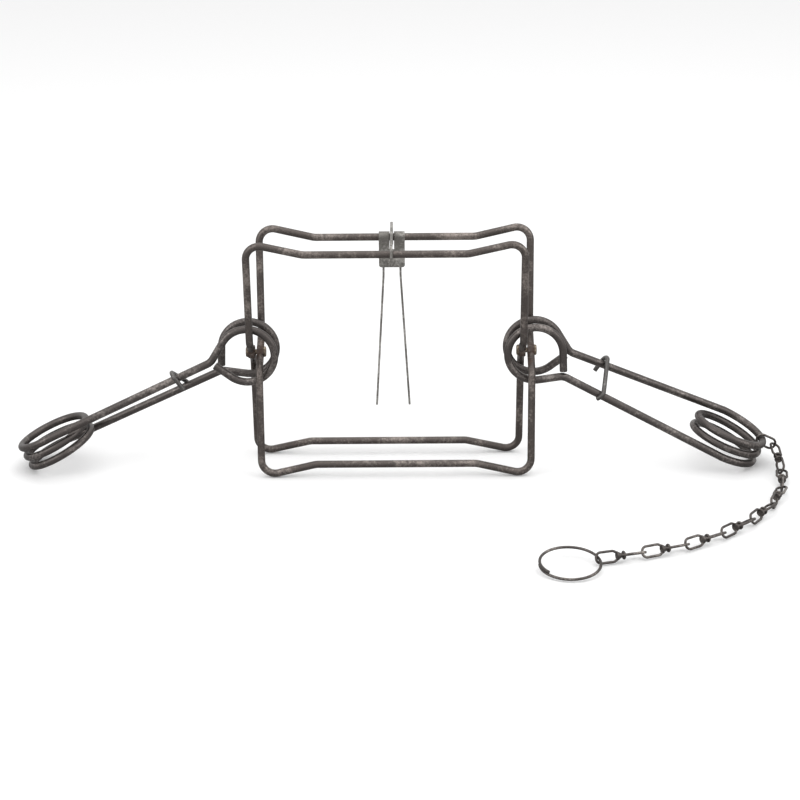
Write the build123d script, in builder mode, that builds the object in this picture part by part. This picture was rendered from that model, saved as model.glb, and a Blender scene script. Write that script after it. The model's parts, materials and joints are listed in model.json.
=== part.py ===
from build123d import *
import math
import os

os.makedirs("parts", exist_ok=True)

# A body-gripping trap in its set position: two square wire jaws riveted at the middle
# of their sides, a torsion spring with two eyes on each side, a safety hook on each
# spring, a dog and a wire trigger on the top bar, and an anchor chain with its ring.
# X is along the hinge, Y through the trap, Z up; the origin is on the ground under
# the middle of the hinge. Everything is in millimetres.

# ---------------------------------------------------------------- driving dimensions
JAW_WIRE = 7.1             # diameter of the jaws' wire
JAW_WIDTH = 261.1          # between the middles of a jaw's two side bars
JAW_SHIFT = 4.15           # each jaw sits this far to its own side, so side bars pass
HINGE_Z = 117.1            # height of the rivets
BAR_REACH = 105.0          # from the hinge up, or down, to a crossbar
BAR_SPREAD = 31.5          # a crossbar's distance from the hinge plane, in Y
EAR_REACH = 117.0          # corner point of the raised ears, before rounding
EAR_SPREAD = 32.4
EAR_LENGTH = 53.0          # the ear runs down to the straight bar over this length
JOG_REACH = 15.0           # the side bar is jogged through the hinge
JOG_SPREAD = 22.0
EAR_BEND = 13.0            # bend radii of the wire's middle line
BAR_BEND = 22.0
JOG_BEND = 9.0

BOSS_RADIUS = 6.3          # flattened eye that the rivet goes through
BOSS_WIDTH = 6.2
RIVET_RADIUS = 2.5
RIVET_FIT = 0.05
RIVET_HEAD_RADIUS = 5.2
RIVET_HEAD_HEIGHT = 2.2
GAP = 0.35                 # between faces of parts that move past each other

SPRING_WIRE = 7.5
EYE_X = 138.5              # middle of the spring eyes
EYE_PLANE = 12.5           # each eye lies this far from the hinge plane, in Y
EYE_RADIUS = 26.5
SPRING_LENGTH = 210.0      # from the eyes' middle to the coil's axis
SPRING_DROP = 25.25        # slope of the spring, degrees
COIL_RADIUS = 33.5
COIL_RISE = 26.4           # along the coil's axis, from one arm's level to the other's
COIL_TURNS = 2             # whole turns, beside the part turn between the two arms
BEND_U = 34.5              # where an arm bends into its eye, along the spring
BEND_W = 9.0               # and across it
TAIL_U = 32.2              # end of the eye's tail, on the arm
TAIL_W = 4.4
ARM_TRAVEL = 9.75          # how far an arm turns about the coil, degrees

HOOK_WIRE = 4.4
HOOK_U = 75.0              # place of the safety hook along the spring
HOOK_GAP = 0.9             # between the hook's curls and the arm inside them
HOOK_SLANT = 7.0           # each curl comes out this far nearer the eyes
HOOK_CATCH = 85.0          # turn round the front arm: more would keep it from lifting off

TRIGGER_X = 1.3
SHEET = 1.5
BRACKET_WIDTH = 25.0
BRACKET_DROP = 29.0        # from the bar's middle down to the plate's lower edge
BRACKET_BACK = 7.0
SLOT_WIDTH = 4.4
SLOT_DROP = 11.0
DOG_SHEET = 2.6
DOG_HUB = 7.6
TRIGGER_WIRE = 2.1
WIRE_TOP = 8.2             # half the distance between the trigger wires, at the top
WIRE_FOOT = 16.2           # and at their lower ends
WIRE_FOOT_Z = 51.5
WIRE_HOLD = 14.0           # how far the wires run up behind the plate
CLAMP_HEIGHT = 8.0
PIN_RADIUS = 1.5           # of the rivet through the clamp
PIN_HEAD = 2.7
PIN_CROWN = 1.0

LINK_WIRE = 2.3
LINK_PITCH = 43.0
LINK_HALF = 4.8            # half the width of a loop, at the wire's middle
LINK_KNOT = 2.0            # radius of the twisted legs inside the knot
CHAIN_Z = 6.1              # height of the links that lie on the ground
# each link's heading on the ground, and how far its first loop leans off the ground
CHAIN_LINKS = (
    (-90, -25), (-100, -5), (-113, 15), (-125, 28),
    (-136, 28), (-146, 28), (-158, 28), (-164, 28),
)
ANCHOR_LENGTH = 9.0
RING_RADIUS = 26.4
RING_WIRE = 2.5
RING_TILT = 5.5
RING_LAP = 42.0            # the ring's two ends pass each other by this angle


# ---------------------------------------------------------------------- small helpers
def wire_along(path, diameter):
    """Sweep a round wire along a finished path, inside the builder in use."""
    with BuildSketch(Plane(origin=path @ 0, z_dir=path % 0)) as section:
        Circle(diameter / 2)
    sweep(sections=section.sketch, path=path)


def wound_wire(pitch, height, radius, diameter):
    """A round wire wound about Z, that starts on the X axis at the origin's level."""
    with BuildPart() as wound:
        with BuildLine() as turns:
            Helix(pitch=pitch, height=height, radius=radius)
        path = turns.wires()[0]
        with BuildSketch(Plane(origin=path @ 0, z_dir=path % 0)) as section:
            Circle(diameter / 2)
        sweep(sections=section.sketch, path=path, is_frenet=True)
    return wound.part


def polar(radius, degrees):
    angle = math.radians(degrees)
    return radius * math.cos(angle), radius * math.sin(angle)


def finish(builder, name):
    builder.part.label = name
    export_step(builder.part, "parts/" + name + ".step")
    print(name, round(builder.part.volume, 1), "mm3", len(builder.part.solids()), "solid")


# ------------------------------------------------------------------------------- jaws
def jaw_side(side):
    """Half of a jaw's wire, from the middle of the top bar to the middle of the lower."""
    edge = side * JAW_WIDTH / 2
    flat = side * (JAW_WIDTH / 2 - EAR_LENGTH)
    with BuildLine() as path:
        FilletPolyline(
            (0, -BAR_SPREAD, BAR_REACH),
            (flat, -BAR_SPREAD, BAR_REACH),
            (edge, -EAR_SPREAD, EAR_REACH),
            (edge, -JOG_SPREAD, JOG_REACH),
            (edge, JOG_SPREAD, -JOG_REACH),
            (edge, EAR_SPREAD, -EAR_REACH),
            (flat, BAR_SPREAD, -BAR_REACH),
            (0, BAR_SPREAD, -BAR_REACH),
            radius=[BAR_BEND, EAR_BEND, JOG_BEND, JOG_BEND, EAR_BEND, BAR_BEND],
        )
    return path.wires()[0]


with BuildPart() as jaw:
    for side in (-1, 1):
        wire_along(jaw_side(side), JAW_WIRE)
    for side in (-1, 1):
        with BuildSketch(Plane.YZ.offset(side * JAW_WIDTH / 2)):
            Circle(BOSS_RADIUS)
        extrude(amount=BOSS_WIDTH / 2, both=True)
    for side in (-1, 1):
        for face in (-1, 1):
            with BuildSketch(Plane.YZ.offset(side * JAW_WIDTH / 2 + face * BOSS_WIDTH / 2)):
                Circle(BOSS_RADIUS + 1.5)
            extrude(amount=face * JAW_WIRE / 2, mode=Mode.SUBTRACT)
        with BuildSketch(Plane.YZ.offset(side * JAW_WIDTH / 2)):
            Circle(RIVET_RADIUS + RIVET_FIT)
        extrude(amount=JAW_WIRE, both=True, mode=Mode.SUBTRACT)

with BuildPart() as jaw_a:
    add(jaw.part.moved(Location((-JAW_SHIFT, 0, HINGE_Z))))
finish(jaw_a, "jaw_a")

with BuildPart() as jaw_b:
    add(jaw.part.rotate(Axis.Z, 180).moved(Location((JAW_SHIFT, 0, HINGE_Z))))
finish(jaw_b, "jaw_b")


# ----------------------------------------------------------------------------- rivets
SHANK = JAW_SHIFT + BOSS_WIDTH / 2 + GAP       # half the length between the two heads

with BuildPart() as rivet_right:
    with BuildSketch(Plane.YZ.offset(JAW_WIDTH / 2)):
        with Locations((0, HINGE_Z)):
            Circle(RIVET_RADIUS)
    extrude(amount=SHANK + 0.5, both=True)
    for face in (-1, 1):
        with BuildSketch(Plane.YZ.offset(JAW_WIDTH / 2 + face * SHANK)):
            with Locations((0, HINGE_Z)):
                Circle(RIVET_HEAD_RADIUS)
        extrude(amount=face * RIVET_HEAD_HEIGHT)
    crowns = rivet_right.edges().filter_by(GeomType.CIRCLE).group_by(Axis.X)
    fillet(crowns[0] + crowns[-1], RIVET_HEAD_HEIGHT * 0.7)
finish(rivet_right, "rivet_right")

with BuildPart() as rivet_left:
    add(rivet_right.part.rotate(Axis.Z, 180))
finish(rivet_left, "rivet_left")


# ---------------------------------------------------------------------------- springs
# A spring has its own directions: U from the eyes out to the coil, V along Y, and W
# up across it, which is the coil's axis.
DROP = math.radians(SPRING_DROP)
U_AXIS = Vector(math.cos(DROP), 0, -math.sin(DROP))
V_AXIS = Vector(0, 1, 0)
W_AXIS = Vector(math.sin(DROP), 0, math.cos(DROP))
EYE_MIDDLE = Vector(EYE_X, 0, HINGE_Z)
COIL_MIDDLE = EYE_MIDDLE + U_AXIS * SPRING_LENGTH
SPRING_AXIS = Axis(EYE_MIDDLE, U_AXIS)


def at(u, v, w):
    return EYE_MIDDLE + U_AXIS * u + V_AXIS * v + W_AXIS * w


def touch_angle(u, w, way):
    """Angle at which a line from (u, w) touches the eye's circle."""
    reach = math.hypot(u, w)
    return math.degrees(math.atan2(w, u) + way * math.acos(EYE_RADIUS / reach))


# the arm touches the coil's circle where a line from the bend runs past it
ARM_SPAN = math.hypot(SPRING_LENGTH - BEND_U, EYE_PLANE)
COIL_ANGLE = 180 - math.degrees(
    math.acos(COIL_RADIUS / ARM_SPAN) + math.atan2(EYE_PLANE, SPRING_LENGTH - BEND_U)
)
ARM_END_U, ARM_END_V = polar(COIL_RADIUS, -COIL_ANGLE)
ARM_END = (SPRING_LENGTH + ARM_END_U, ARM_END_V, -COIL_RISE / 2)
BEND = (BEND_U, -EYE_PLANE, -BEND_W)
EYE_START = touch_angle(BEND_U, -BEND_W, -1)
TAIL_START = touch_angle(TAIL_U, -TAIL_W, 1)


def eye_point(degrees):
    u, w = polar(EYE_RADIUS, degrees)
    return at(u, -EYE_PLANE, w)


with BuildPart() as arm_front_right:
    with BuildLine() as arm_path:
        stem = FilletPolyline(at(*ARM_END), at(*BEND), eye_point(EYE_START), radius=12)
        ThreePointArc(eye_point(EYE_START), eye_point(180), eye_point(90))
    wire_along(arm_path.wires()[0], SPRING_WIRE)
    with BuildLine() as tail_path:
        ThreePointArc(eye_point(90), eye_point((90 + TAIL_START) / 2), eye_point(TAIL_START))
        Line(eye_point(TAIL_START), at(TAIL_U, -EYE_PLANE, -TAIL_W))
    wire_along(tail_path.wires()[0], SPRING_WIRE)
finish(arm_front_right, "spring_arm_front_right")

with BuildPart() as arm_rear_right:
    add(arm_front_right.part.rotate(SPRING_AXIS, 180))
finish(arm_rear_right, "spring_arm_rear_right")

# The coil is the same wire. Its solid stops short of both arms by their travel, which
# leaves them room to turn about it.
COIL_SWEEP = 360 * COIL_TURNS + 2 * COIL_ANGLE
COIL_SHORT = ARM_TRAVEL + 1.5
COIL_PITCH = COIL_RISE * 360 / COIL_SWEEP

COIL_SOLID = COIL_SWEEP - 2 * COIL_SHORT
COIL_HEIGHT = COIL_PITCH * COIL_SOLID / 360
start_u, start_v = polar(1, COIL_SHORT - COIL_ANGLE)
coil_plane = Plane(
    COIL_MIDDLE - W_AXIS * (COIL_HEIGHT / 2),
    x_dir=U_AXIS * start_u + V_AXIS * start_v,
    z_dir=W_AXIS,
)

with BuildPart() as coil_right:
    add(wound_wire(COIL_PITCH, COIL_HEIGHT, COIL_RADIUS, SPRING_WIRE).moved(coil_plane.location))
finish(coil_right, "spring_coil_right")

for name, source in (
    ("spring_arm_rear_left", arm_front_right),
    ("spring_arm_front_left", arm_rear_right),
    ("spring_coil_left", coil_right),
):
    with BuildPart() as left_piece:
        add(source.part.rotate(Axis.Z, 180))
    finish(left_piece, name)


# ----------------------------------------------------------------------- safety hooks
# A hook is curled round the rear arm and caught round the front arm of its spring.
SHARE = (HOOK_U - BEND_U) / (ARM_END[0] - BEND_U)
HOOK_V = EYE_PLANE + SHARE * (-ARM_END[1] - EYE_PLANE)
HOOK_W = BEND_W + SHARE * (COIL_RISE / 2 - BEND_W)
CURL = SPRING_WIRE / 2 + HOOK_GAP + HOOK_WIRE / 2
LEG_LEAN = math.degrees(math.atan2(HOOK_V, -HOOK_W))      # the leg stands off this way
CURL_BEND = CURL * 0.96


def round_arm(side, degrees, turn, u):
    """Corner of the hook's path beside the rear (1) or front (-1) arm."""
    reach = CURL / math.cos(math.radians(turn / 2))
    v, w = polar(reach, degrees)
    return at(u, side * HOOK_V + v, side * HOOK_W + w)


CATCH_END = LEG_LEAN + HOOK_CATCH
END_V, END_W = polar(CURL, CATCH_END)

with BuildPart() as hook_right:
    with BuildLine() as hook_path:
        FilletPolyline(
            at(HOOK_U - HOOK_SLANT, HOOK_V + CURL, HOOK_W - 11.0),
            round_arm(1, LEG_LEAN / 2, LEG_LEAN, HOOK_U - HOOK_SLANT / 2),
            round_arm(-1, LEG_LEAN + HOOK_CATCH / 2, HOOK_CATCH, HOOK_U),
            at(HOOK_U - HOOK_SLANT / 2, END_V - HOOK_V, END_W - HOOK_W),
            radius=CURL_BEND,
        )
    wire_along(hook_path.wires()[0], HOOK_WIRE)
finish(hook_right, "safety_hook_right")

with BuildPart() as hook_left:
    add(hook_right.part.rotate(Axis.Z, 180))
finish(hook_left, "safety_hook_left")


# ---------------------------------------------------------------- dog and wire trigger
BAR_Z = HINGE_Z + BAR_REACH
BAR_SIDE = JAW_WIRE / 2 + GAP          # inside of what turns on the bar
CLAMP_Z = BAR_Z - BRACKET_DROP + 5.5
BAR_PLANE = Plane(
    origin=(TRIGGER_X, BAR_SPREAD, BAR_Z), x_dir=(0, 1, 0), z_dir=(1, 0, 0)
)


with BuildPart() as bracket:
    with BuildSketch(BAR_PLANE):
        Circle(BAR_SIDE + SHEET)
        with Locations((0, -BAR_SIDE - SHEET)):
            Rectangle(
                4 * BAR_SIDE, 2 * (BAR_SIDE + SHEET), mode=Mode.SUBTRACT
            )
        with Locations((-BAR_SIDE - SHEET / 2, -BRACKET_DROP / 2)):
            Rectangle(SHEET, BRACKET_DROP)
        with Locations((BAR_SIDE + SHEET / 2, -BRACKET_BACK / 2)):
            Rectangle(SHEET, BRACKET_BACK)
        Circle(BAR_SIDE, mode=Mode.SUBTRACT)
    extrude(amount=BRACKET_WIDTH / 2, both=True)
    with BuildSketch(BAR_PLANE):
        with Locations((0, 0)):
            Rectangle(40, 2 * SLOT_DROP)
    extrude(amount=SLOT_WIDTH / 2, both=True, mode=Mode.SUBTRACT)
    foot = bracket.edges().filter_by(Axis.Y).group_by(Axis.Z)[0]
    fillet(foot, 2.5)
    with BuildSketch(Plane.XZ.offset(-BAR_SPREAD)):
        with Locations((TRIGGER_X, CLAMP_Z)):
            Circle(PIN_RADIUS + RIVET_FIT)
    extrude(amount=4 * BAR_SIDE, mode=Mode.SUBTRACT)
finish(bracket, "trigger_bracket")

# Outline of the dog in Y and Z from the bar it turns on: its hook drops over the
# other jaw's bar, which is caught in the notch.
REACH = 2 * BAR_SPREAD
NOTCH = REACH + BAR_SIDE
with BuildPart() as dog:
    with BuildSketch(BAR_PLANE):
        with BuildLine():
            Polyline(
                (0, DOG_HUB),
                (2.0, 14.0),
                (-4.0, 16.0),
                (-0.55 * REACH, 13.5),
                (-NOTCH - 2.0, 9.0),
                (-NOTCH - 4.4, 4.0),
                (-NOTCH - 4.4, -9.0),
                (-NOTCH - 2.6, -10.5),
                (-NOTCH, -8.5),
                (-NOTCH, BAR_SIDE),
                (-REACH + BAR_SIDE + 1.0, BAR_SIDE),
                (-REACH + BAR_SIDE + 3.0, 5.5),
                (-DOG_HUB, 4.6),
                (-DOG_HUB * 0.6, 0),
                (0, DOG_HUB),
            )
        make_face()
        Circle(DOG_HUB)
        Circle(BAR_SIDE, mode=Mode.SUBTRACT)
    extrude(amount=DOG_SHEET / 2, both=True)
finish(dog, "dog")

PLATE_BACK = BAR_SPREAD - BAR_SIDE
WIRE_Y = PLATE_BACK + TRIGGER_WIRE / 2 + 0.02
WIRE_TOP_Z = BAR_Z - BRACKET_DROP + WIRE_HOLD

for side, name in ((-1, "trigger_wire_left"), (1, "trigger_wire_right")):
    with BuildPart() as trigger_wire:
        with BuildLine() as wire_path:
            FilletPolyline(
                (TRIGGER_X + side * WIRE_TOP, WIRE_Y, WIRE_TOP_Z),
                (TRIGGER_X + side * WIRE_TOP, WIRE_Y, BAR_Z - BRACKET_DROP - 8),
                (TRIGGER_X + side * WIRE_FOOT, WIRE_Y, WIRE_FOOT_Z),
                radius=60,
            )
        wire_along(wire_path.wires()[0], TRIGGER_WIRE)
    finish(trigger_wire, name)

CLAMP_BACK = PLATE_BACK + TRIGGER_WIRE + 0.04
with BuildPart() as clamp:
    with BuildSketch(Plane.XZ.offset(-CLAMP_BACK - SHEET / 2)):
        with Locations((TRIGGER_X, CLAMP_Z)):
            RectangleRounded(BRACKET_WIDTH - 3, CLAMP_HEIGHT, 2)
    extrude(amount=SHEET / 2, both=True)
    with BuildSketch(Plane.XZ.offset(-CLAMP_BACK - SHEET / 2)):
        with Locations((TRIGGER_X, CLAMP_Z)):
            Circle(PIN_RADIUS + RIVET_FIT)
    extrude(amount=SHEET, both=True, mode=Mode.SUBTRACT)
finish(clamp, "trigger_clamp")

PLATE_FRONT = PLATE_BACK - SHEET - 0.02
CLAMP_FACE = CLAMP_BACK + SHEET + 0.02
with BuildPart() as trigger_rivet:
    with BuildSketch(Plane.XZ.offset(-PLATE_FRONT)):
        with Locations((TRIGGER_X, CLAMP_Z)):
            Circle(PIN_RADIUS)
    extrude(amount=PLATE_FRONT - CLAMP_FACE)
    for face, way in ((PLATE_FRONT, 1), (CLAMP_FACE, -1)):
        with BuildSketch(Plane.XZ.offset(-face)):
            with Locations((TRIGGER_X, CLAMP_Z)):
                Circle(PIN_HEAD)
        extrude(amount=way * PIN_CROWN)
finish(trigger_rivet, "trigger_rivet")


# ------------------------------------------------------------------------------ chain
LINK_LAP = (LINK_WIRE + 0.3) / 2       # a loop's end lies this far past its joint

# The anchor loop is closed round the coil's top turn, at its outer end.
TOP_TURN = COIL_RISE * ((COIL_ANGLE + 360 * COIL_TURNS) / COIL_SWEEP - 0.5)
TURN_U = SPRING_LENGTH + COIL_RADIUS
ANCHOR_BEND = (SPRING_WIRE + LINK_WIRE) / 2 + 0.3
ANCHOR_FAR = TURN_U + ANCHOR_LENGTH

with BuildPart() as anchor:
    for way in (-1, 1):
        near = at(TURN_U, 0, TOP_TURN + way * ANCHOR_BEND)
        far = at(ANCHOR_FAR, 0, TOP_TURN + way * ANCHOR_BEND)
        diagonal = ANCHOR_BEND * math.sqrt(0.5)
        with BuildLine() as half_loop:
            ThreePointArc(
                at(TURN_U - ANCHOR_BEND, 0, TOP_TURN),
                at(TURN_U - diagonal, 0, TOP_TURN + way * diagonal),
                near,
            )
            Line(near, far)
            ThreePointArc(
                far,
                at(ANCHOR_FAR + diagonal, 0, TOP_TURN + way * diagonal),
                at(ANCHOR_FAR + ANCHOR_BEND, 0, TOP_TURN),
            )
        wire_along(half_loop.wires()[0], LINK_WIRE)
finish(anchor, "chain_anchor")


def loop_path(frame, lean, reach):
    """A link's loop: out of the knot at the frame's middle, round an end and back."""
    across = frame.y_dir * math.cos(lean) + frame.z_dir * math.sin(lean)
    corners = ((0, 1.1), (6.5, LINK_HALF), (reach, LINK_HALF))
    out = [frame.origin + frame.x_dir * s + across * e for s, e in corners]
    back = [frame.origin + frame.x_dir * s - across * e for s, e in reversed(corners)]
    bend = LINK_HALF * 0.94
    with BuildLine() as path:
        FilletPolyline(*out, *back, radius=[bend, bend, bend, bend])
    return path.wires()[0]


def chain_link(start, end, lean):
    """One link from joint to joint: two loops at right angles and the knot between."""
    middle = (start + end) * 0.5
    along = (end - start).normalized()
    level = Vector(0, 0, 1).cross(along).normalized()
    reach = LINK_PITCH / 2 + LINK_LAP
    first = Plane(middle, x_dir=-along, z_dir=-along.cross(level))
    second = Plane(middle, x_dir=along, z_dir=along.cross(level))
    with BuildPart() as link:
        wire_along(loop_path(first, math.radians(-lean), reach), LINK_WIRE)
        wire_along(loop_path(second, math.radians(lean + 90), reach), LINK_WIRE)
        with BuildSketch(Plane(middle, z_dir=along)):
            Circle(LINK_KNOT)
        extrude(amount=3 * LINK_WIRE / 2, both=True)
        for place in (-1.25, 1.25):
            knot = middle + along * (place * LINK_WIRE)
            with BuildSketch(Plane(knot, x_dir=level, z_dir=level.cross(along))):
                with Locations((LINK_KNOT + LINK_WIRE / 3, 0)):
                    Circle(LINK_WIRE / 2)
            revolve(axis=Axis(knot, along))
    return link


joint = at(ANCHOR_FAR + ANCHOR_BEND, LINK_LAP, TOP_TURN)
for number, (heading, lean) in enumerate(CHAIN_LINKS, start=1):
    step_x, step_y = polar(1, heading)
    fall = CHAIN_Z - joint.Z
    level_step = math.sqrt(LINK_PITCH ** 2 - fall ** 2)
    next_joint = joint + Vector(step_x * level_step, step_y * level_step, fall)
    link = chain_link(joint, next_joint, lean)
    finish(link, "chain_link_" + str(number))
    print("  joint at", [round(value, 3) for value in joint])
    joint = next_joint
print("  ring joint at", [round(value, 3) for value in joint])

RING_REACH = RING_RADIUS - LINK_LAP
RING_MIDDLE = Vector(
    joint.X + step_x * RING_REACH,
    joint.Y + step_y * RING_REACH,
    RING_WIRE / 2 + RING_RADIUS * math.sin(math.radians(RING_TILT)),
)
RING_PITCH = RING_WIRE + 0.15
RING_HEIGHT = RING_PITCH * (1 + RING_LAP / 360)
tilt = math.radians(RING_TILT)
ring_plane = Plane(RING_MIDDLE, x_dir=(-1, 0, 0), z_dir=(0, -math.sin(tilt), math.cos(tilt)))

with BuildPart() as ring:
    add(wound_wire(RING_PITCH, RING_HEIGHT, RING_RADIUS, RING_WIRE).moved(ring_plane.location))
finish(ring, "chain_ring")
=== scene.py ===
# %% [markdown]
# # The looks of a body-gripping trap
# The trap is nearly all bare steel wire: two jaws, two springs, hooks, a trigger and
# a chain. Its shapes come ready from the CAD frame, so this lesson is about three
# things: a camera that sees it as a buyer would, steel that looks worked and stored
# rather than freshly painted, and the few pieces whose shape the frame leaves plain.

# %% Load the frame
import json
import math
import bpy
from mathutils import Matrix, Vector


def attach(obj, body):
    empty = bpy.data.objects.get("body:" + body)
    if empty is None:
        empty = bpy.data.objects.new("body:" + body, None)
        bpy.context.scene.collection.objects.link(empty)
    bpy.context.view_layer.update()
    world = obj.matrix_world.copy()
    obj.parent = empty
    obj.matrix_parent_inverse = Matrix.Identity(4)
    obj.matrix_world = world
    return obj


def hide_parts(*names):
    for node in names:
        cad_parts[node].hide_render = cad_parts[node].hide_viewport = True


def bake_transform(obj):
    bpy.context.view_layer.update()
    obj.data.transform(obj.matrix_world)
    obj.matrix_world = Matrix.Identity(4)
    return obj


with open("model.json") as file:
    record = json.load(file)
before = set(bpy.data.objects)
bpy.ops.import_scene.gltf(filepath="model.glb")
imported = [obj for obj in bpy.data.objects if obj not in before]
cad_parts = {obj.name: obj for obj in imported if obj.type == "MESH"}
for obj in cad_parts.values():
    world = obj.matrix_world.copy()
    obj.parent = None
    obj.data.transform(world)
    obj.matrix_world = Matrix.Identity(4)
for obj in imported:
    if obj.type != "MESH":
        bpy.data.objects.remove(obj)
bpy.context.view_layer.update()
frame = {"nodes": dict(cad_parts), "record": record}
joints = {joint["name"]: joint for joint in frame["record"]["behaviour"]["joints"]}
MM = 0.001

# %% [markdown]
# ## Camera
# A long lens from a little above keeps the two square jaws square, one just behind
# the other. The slight roll is the tripod's, and is kept because the chain and the
# springs lean with it.

# %% Camera
CAMERA_AIM = Vector((8.1, 0.0, 66.4)) * MM
CAMERA_PLACE = Vector((17.6, -1727.2, 693.1)) * MM
CAMERA_ROLL = math.radians(-0.49)
LENS = 84.8

bpy.ops.object.select_all(action="DESELECT")
bpy.ops.object.camera_add(location=CAMERA_PLACE)
camera = bpy.context.object
camera.name = "camera"
look = (CAMERA_AIM - CAMERA_PLACE).to_track_quat("-Z", "Y").to_matrix().to_4x4()
camera.matrix_world = (
    Matrix.Translation(CAMERA_PLACE) @ look @ Matrix.Rotation(CAMERA_ROLL, 4, "Z")
)
camera.data.lens = LENS
camera.data.sensor_width = 36.0
bpy.context.scene.camera = camera
print("camera stands", round(CAMERA_PLACE.length, 2), "m from the hinge")

# %% [markdown]
# ## Light and floor
# Dark steel wire shows its roundness only by what it mirrors, so the lights are
# large: one broad panel overhead and one at each side.
# The sky around them is an even white, and so is most of what the steel mirrors. The
# floor is pale and dull, and carries soft contact shadows. That holds only for the
# camera: to light that bounces, and so in the steel's reflections, the floor is a
# mid grey, which keeps the undersides of the wires dark.

# %% Light and floor
FLOOR_SIZE = 14.0
FLOOR_PLACE = (0, 4.0, -0.0006)   # just under the wires that touch the ground
FLOOR_SEEN = (0.94, 0.94, 0.94, 1)
FLOOR_MIRRORED = (0.38, 0.38, 0.38, 1)
SKY_STRENGTH = 0.92
COLOUR_A, COLOUR_B, COLOUR_OUT = 6, 7, 2   # a Mix node's sockets for colours


def panel(name, place, aim, size, watts):
    """A square area light at place that faces aim."""
    bpy.ops.object.light_add(type="AREA", location=place)
    lamp = bpy.context.object
    lamp.name = name
    lamp.rotation_euler = (Vector(aim) - Vector(place)).to_track_quat("-Z", "Y").to_euler()
    lamp.data.shape = "SQUARE"
    lamp.data.size = size
    lamp.data.energy = watts
    return lamp


panel("top_panel", (0.1, -0.1, 2.4), (0, 0, 0.1), 3.0, 22)
panel("left_panel", (-1.8, -1.2, 1.1), (0, 0, 0.1), 1.1, 9)
panel("right_panel", (1.8, -1.0, 1.2), (0, 0, 0.1), 1.1, 7)

world = bpy.data.worlds.new("studio")
bpy.context.scene.world = world
world.use_nodes = True
world.node_tree.nodes["Background"].inputs["Color"].default_value = (1, 1, 1, 1)
world.node_tree.nodes["Background"].inputs["Strength"].default_value = SKY_STRENGTH
bpy.context.scene.view_settings.view_transform = "Standard"

bpy.ops.mesh.primitive_plane_add(size=FLOOR_SIZE, location=FLOOR_PLACE)
floor = bpy.context.object
floor.name = "floor"
paper = bpy.data.materials.new("paper")
paper.use_nodes = True
shades = paper.node_tree.nodes.new("ShaderNodeMix")
shades.data_type = "RGBA"
shades.inputs[COLOUR_A].default_value = FLOOR_MIRRORED
shades.inputs[COLOUR_B].default_value = FLOOR_SEEN
seen = paper.node_tree.nodes.new("ShaderNodeLightPath")
surface = paper.node_tree.nodes["Principled BSDF"]
paper.node_tree.links.new(seen.outputs["Is Camera Ray"], shades.inputs["Factor"])
paper.node_tree.links.new(shades.outputs[COLOUR_OUT], surface.inputs["Base Color"])
surface.inputs["Roughness"].default_value = 0.9
floor.data.materials.append(paper)
print("three panels and a floor")

# %% [markdown]
# ## A way to write shader maths
# Node trees are hard to read as lists of links. Here a socket is wrapped in a small
# class, so that two patterns are combined by writing them as numbers are written.
# Only the operators that the finishes below need are there.

# %% Shader maths
class Value:
    """A number that varies over the surface: one output socket of a node."""

    def __init__(self, tree, socket):
        self.tree = tree
        self.socket = socket

    def maths(self, operation, first, second):
        node = self.tree.nodes.new("ShaderNodeMath")
        node.operation = operation
        for place, item in enumerate((first, second)):
            if isinstance(item, Value):
                self.tree.links.new(item.socket, node.inputs[place])
            else:
                node.inputs[place].default_value = item
        return Value(self.tree, node.outputs[0])

    def __add__(self, other):
        return self.maths("ADD", self, other)

    def __sub__(self, other):
        return self.maths("SUBTRACT", self, other)

    def __rsub__(self, other):
        return self.maths("SUBTRACT", other, self)

    def __mul__(self, other):
        return self.maths("MULTIPLY", self, other)

    __radd__ = __add__
    __rmul__ = __mul__


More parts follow.
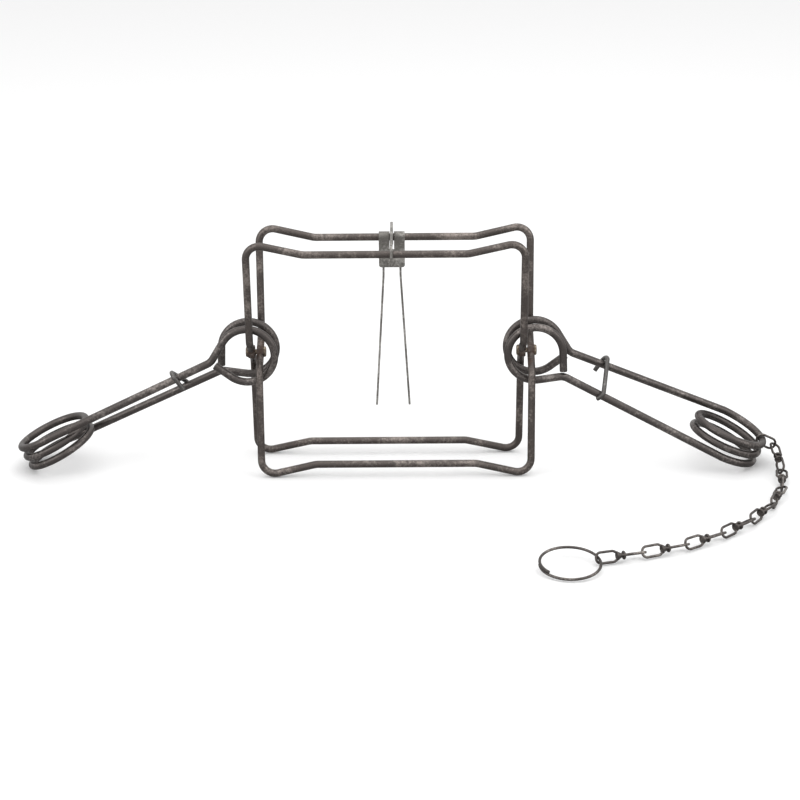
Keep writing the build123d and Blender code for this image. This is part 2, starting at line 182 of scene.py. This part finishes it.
class Finish:
    """A material under construction."""

    def __init__(self, name):
        self.material = bpy.data.materials.new(name)
        self.material.use_nodes = True
        self.tree = self.material.node_tree
        self.shader = self.tree.nodes["Principled BSDF"]
        self.place = self.node("ShaderNodeTexCoord").outputs["Object"]

    def node(self, kind, settings=(), **links):
        """Add a node: its settings first, then its inputs."""
        made = self.tree.nodes.new(kind)
        for setting, value in dict(settings).items():
            setattr(made, setting, value)
        for title, item in links.items():
            socket = made.inputs[title.replace("_", " ")]
            if isinstance(item, Value):
                self.tree.links.new(item.socket, socket)
            elif hasattr(item, "is_output"):
                self.tree.links.new(item, socket)
            else:
                socket.default_value = item
        return made

    def noise(self, per_metre, detail, roughness=0.55):
        """Clouds of about one blob in 1 / per_metre metres, from 0 to 1."""
        cloud = self.node(
            "ShaderNodeTexNoise",
            Vector=self.place,
            Scale=per_metre,
            Detail=detail,
            Roughness=roughness,
        )
        return Value(self.tree, cloud.outputs["Fac"])

    def step(self, value, low, high):
        """0 where value is under low, 1 over high, and smooth between."""
        ramp = self.node("ShaderNodeMapRange", {"interpolation_type": "SMOOTHSTEP"}, Value=value)
        ramp.inputs["From Min"].default_value = low
        ramp.inputs["From Max"].default_value = high
        return Value(self.tree, ramp.outputs["Result"])

    def near(self, places, reach):
        """1 at each of some places, falling to 0 at reach from them."""
        total = None
        for place in places:
            gap = self.node("ShaderNodeVectorMath", {"operation": "DISTANCE"})
            self.tree.links.new(self.place, gap.inputs[0])
            gap.inputs[1].default_value = place
            share = 1 - self.step(Value(self.tree, gap.outputs["Value"]), 0, reach)
            total = share if total is None else total + share
        return total

    def mix(self, share, first, second):
        """Colour first where share is 0 and second where it is 1."""
        blend = self.tree.nodes.new("ShaderNodeMix")
        blend.data_type = "RGBA"
        self.tree.links.new(share.socket, blend.inputs["Factor"])
        for place, colour in ((COLOUR_A, first), (COLOUR_B, second)):
            socket = blend.inputs[place]
            if hasattr(colour, "is_output"):
                self.tree.links.new(colour, socket)
            else:
                socket.default_value = (*colour, 1)
        return blend.outputs[COLOUR_OUT]

    def feed(self, name, item):
        socket = item.socket if isinstance(item, Value) else item
        self.tree.links.new(socket, self.shader.inputs[name])

    def bump(self, height, strength, depth):
        made = self.node("ShaderNodeBump", Height=height, Strength=strength, Distance=depth)
        self.feed("Normal", made.outputs["Normal"])


# %% [markdown]
# ## Steel that has been oiled, bent and stored
# Trap wire is sold dark: hot-rolled or tempered, then dipped in oil. Close up it is a
# grey-brown skin with paler rubbed stretches, small darker pits and a little rust in
# the bends. One recipe makes all the finishes, since all are the same kind of metal,
# and each finish only changes how grey, how rusty and how rubbed it is.

# %% The steel recipe
HINGES = ((-0.1305, 0, 0.1171), (0.1305, 0, 0.1171))
HINGE_RUST_REACH = 0.030


def worked_steel(name, dark, pale, rust, rubbed, rusty, gloss, hinge_rust=0.0):
    """Steel in a dark skin, with rubbed stretches, pits and rust patches."""
    steel = Finish(name)
    drift = steel.noise(38, detail=3)
    grain = steel.noise(420, detail=5, roughness=0.65)
    speckle = steel.noise(1500, detail=3, roughness=0.7)
    patches = steel.noise(85, detail=6, roughness=0.7)
    worn = steel.step(drift * 0.55 + grain * 0.45, 0.60 - rubbed, 0.80 - rubbed)
    spread = patches * 0.7 + speckle * 0.3
    if hinge_rust:
        spread = spread + steel.near(HINGES, HINGE_RUST_REACH) * hinge_rust
    rust_share = steel.step(spread, 0.66 - rusty, 0.80 - rusty)
    pits = steel.step(speckle, 0.34, 0.46)
    skin = steel.mix(worn, dark, pale)
    pitted = steel.mix((1 - pits) * 0.8, skin, tuple(shade * 0.3 for shade in dark))
    steel.feed("Base Color", steel.mix(rust_share * 0.75, pitted, rust))
    steel.feed("Metallic", 0.92 - rust_share * 0.55)
    steel.feed("Roughness", gloss + grain * 0.22 + rust_share * 0.28 - worn * 0.06)
    steel.bump(grain * 0.5 + speckle * 0.3 - rust_share * 0.2, 0.35, 0.0004)
    return steel.material


# %% [markdown]
# ## Six finishes
# The jaws are the brownest and rust most at the hinges. The springs are a little
# darker, the rivets' heads are rubbed bright, and the trigger's sheet is palest.

# %% Six finishes
FINISHES = {
    "jaw_steel": worked_steel(
        "jaw_steel", (0.120, 0.104, 0.096), (0.350, 0.305, 0.278), (0.095, 0.050, 0.032),
        rubbed=0.13, rusty=0.07, gloss=0.30, hinge_rust=0.20,
    ),
    "rivet_steel": worked_steel(
        "rivet_steel", (0.18, 0.14, 0.11), (0.56, 0.48, 0.37), (0.12, 0.060, 0.032),
        rubbed=0.16, rusty=0.07, gloss=0.28, hinge_rust=0.05,
    ),
    "spring_steel": worked_steel(
        "spring_steel", (0.108, 0.096, 0.091), (0.340, 0.306, 0.286), (0.105, 0.062, 0.042),
        rubbed=0.11, rusty=0.04, gloss=0.27, hinge_rust=0.06,
    ),
    "hook_steel": worked_steel(
        "hook_steel", (0.120, 0.114, 0.110), (0.34, 0.33, 0.32), (0.13, 0.08, 0.05),
        rubbed=0.10, rusty=0.02, gloss=0.28,
    ),
    "trigger_steel": worked_steel(
        "trigger_steel", (0.215, 0.205, 0.190), (0.62, 0.60, 0.565), (0.19, 0.14, 0.095),
        rubbed=0.16, rusty=0.03, gloss=0.34,
    ),
    "chain_steel": worked_steel(
        "chain_steel", (0.110, 0.098, 0.092), (0.38, 0.345, 0.315), (0.13, 0.074, 0.045),
        rubbed=0.12, rusty=0.05, gloss=0.27,
    ),
}
slots = {part["node"]: part["material_slot"] for part in frame["record"]["subparts"]}
for node, piece in frame["nodes"].items():
    piece.data.materials.clear()
    piece.data.materials.append(FINISHES[slots[node]])
print(len(FINISHES), "finishes on", len(frame["nodes"]), "nodes")

# %% [markdown]
# ## Springs' coils
# A real spring is one wire, and its coil twists a little tighter or looser over its
# whole length as the arms move. The frame keeps the coil rigid and short, to leave
# the arms room. So the visible coil is wound again here, from a circle carried round
# by a Screw modifier, right up to both arms. It is made in two halves, which meet
# at the coil's middle.

# %% Springs' coils
SPRING_WIRE = 7.5 * MM
COIL_RADIUS = 33.5 * MM
COIL_RISE = 26.4 * MM
EYE_PLANE = 12.5 * MM
BEND_U = 34.5 * MM
ARM_LAP = 2.5                 # degrees that the coil runs on inside each arm's end
WIRE_SIDES = 40
TURN_STEPS = 110
END_SIDES = 60                # a wire's end has fewer corners than this
SMOOTH_ANGLE = math.radians(40)

spring_length = (
    Vector(joints["arm_front_right_spread"]["pos_m"])
    - Vector(joints["spring_right_swing"]["pos_m"])
).length
arm_span = math.hypot(spring_length - BEND_U, EYE_PLANE)
coil_angle = 180 - math.degrees(
    math.acos(COIL_RADIUS / arm_span) + math.atan2(EYE_PLANE, spring_length - BEND_U)
)
coil_sweep = 720 + 2 * coil_angle


def coil_frame(side):
    """The coil's own directions at its middle: out along the spring, across, and up."""
    eyes = Vector(joints[f"spring_{side}_swing"]["pos_m"])
    spread = joints[f"arm_front_{side}_spread"]
    middle = Vector(spread["pos_m"])
    up = Vector(spread["axis"]).normalized()
    out = (middle - eyes).normalized()
    across = up.cross(out)
    turn = Matrix((out, across, up)).transposed().to_4x4()
    return Matrix.Translation(middle) @ turn, middle, up


def half_coil(name, side, low):
    """Half of a coil's turns, below its middle (low) or above."""
    half = coil_sweep / 2 + ARM_LAP
    rise = COIL_RISE * half / coil_sweep
    bpy.ops.object.select_all(action="DESELECT")
    bpy.ops.mesh.primitive_circle_add(
        vertices=WIRE_SIDES,
        radius=SPRING_WIRE / 2,
        fill_type="NGON",
        location=(COIL_RADIUS, 0, 0),
        rotation=(math.pi / 2, 0, 0),
    )
    coil = bpy.context.object
    coil.name = name
    bpy.ops.object.transform_apply(location=True, rotation=True, scale=True)
    bpy.ops.object.mode_set(mode="EDIT")
    bpy.ops.mesh.select_all(action="SELECT")
    bpy.ops.mesh.delete(type="ONLY_FACE")
    bpy.ops.object.mode_set(mode="OBJECT")
    screw = coil.modifiers.new("wind", "SCREW")
    screw.angle = math.radians(half)
    screw.screw_offset = rise
    screw.steps = TURN_STEPS
    screw.render_steps = TURN_STEPS
    bpy.ops.object.modifier_apply(modifier="wind")
    bpy.ops.object.mode_set(mode="EDIT")
    bpy.ops.mesh.select_all(action="SELECT")
    bpy.ops.mesh.fill_holes(sides=END_SIDES)
    bpy.ops.mesh.select_all(action="SELECT")
    bpy.ops.mesh.normals_make_consistent(inside=False)
    bpy.ops.object.mode_set(mode="OBJECT")
    bpy.ops.object.shade_smooth_by_angle(angle=SMOOTH_ANGLE)
    place, middle, up = coil_frame(side)
    start = -coil_angle - ARM_LAP if low else coil_sweep / 2 - coil_angle
    base = -rise if low else 0.0
    turn = Matrix.Rotation(math.radians(start), 4, "Z")
    coil.data.transform(place @ Matrix.Translation((0, 0, base)) @ turn)
    return coil, middle, up


for side, low_arm, high_arm in (("right", "front", "rear"), ("left", "rear", "front")):
    for low, arm in ((True, low_arm), (False, high_arm)):
        level = "low" if low else "high"
        coil, middle, up = half_coil(f"coil_{side}_{level}", side, low)
        coil.data.materials.append(FINISHES["spring_steel"])
        end = middle + up * (COIL_RISE / 2) * (-1 if low else 1)
        if low:
            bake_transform(coil)
        else:
            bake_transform(coil)
        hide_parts(f"spring_coil_{side}")
print("coils of", round(coil_sweep / 360, 2), "turns, wound in halves")

# %% [markdown]
# ## Pressed sheet: trigger bracket, clamp and dog
# Sheet cut in a press has a rolled edge on one side and a worn burr on the other, and
# an edge with no width catches no light. The frame's sheet pieces are exact but
# sharp, so each gets a copy whose loose triangles are joined again and whose edges
# are rounded by a Bevel modifier.

# %% Pressed sheet
def rounded_copy(node, body, width, segments=3):
    """A copy of a frame piece with its edges rounded, standing in for it."""
    source = frame["nodes"][node]
    bpy.ops.object.select_all(action="DESELECT")
    source.select_set(True)
    bpy.context.view_layer.objects.active = source
    bpy.ops.object.duplicate()
    copy = bpy.context.object
    copy.name = node + "_worn"
    bpy.ops.object.mode_set(mode="EDIT")
    bpy.ops.mesh.select_all(action="SELECT")
    bpy.ops.mesh.remove_doubles(threshold=0.000005)
    bpy.ops.mesh.dissolve_limited(angle_limit=math.radians(1))
    bpy.ops.object.mode_set(mode="OBJECT")
    bevel = copy.modifiers.new("edge", "BEVEL")
    bevel.width = width
    bevel.segments = segments
    bevel.limit_method = "ANGLE"
    bevel.angle_limit = math.radians(35)
    bevel.use_clamp_overlap = True
    bpy.ops.object.modifier_apply(modifier="edge")
    bpy.ops.object.shade_smooth_by_angle(angle=SMOOTH_ANGLE)
    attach(copy, body)
    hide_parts(node)
    return copy


for node, body, width in (
    ("trigger_bracket", "trigger", 0.35 * MM),
    ("trigger_clamp", "trigger", 0.3 * MM),
    ("trigger_rivet", "trigger", 0.4 * MM),
    ("dog", "dog", 0.5 * MM),
):
    worn = rounded_copy(node, body, width)
    print(worn.name, len(worn.data.polygons), "faces")
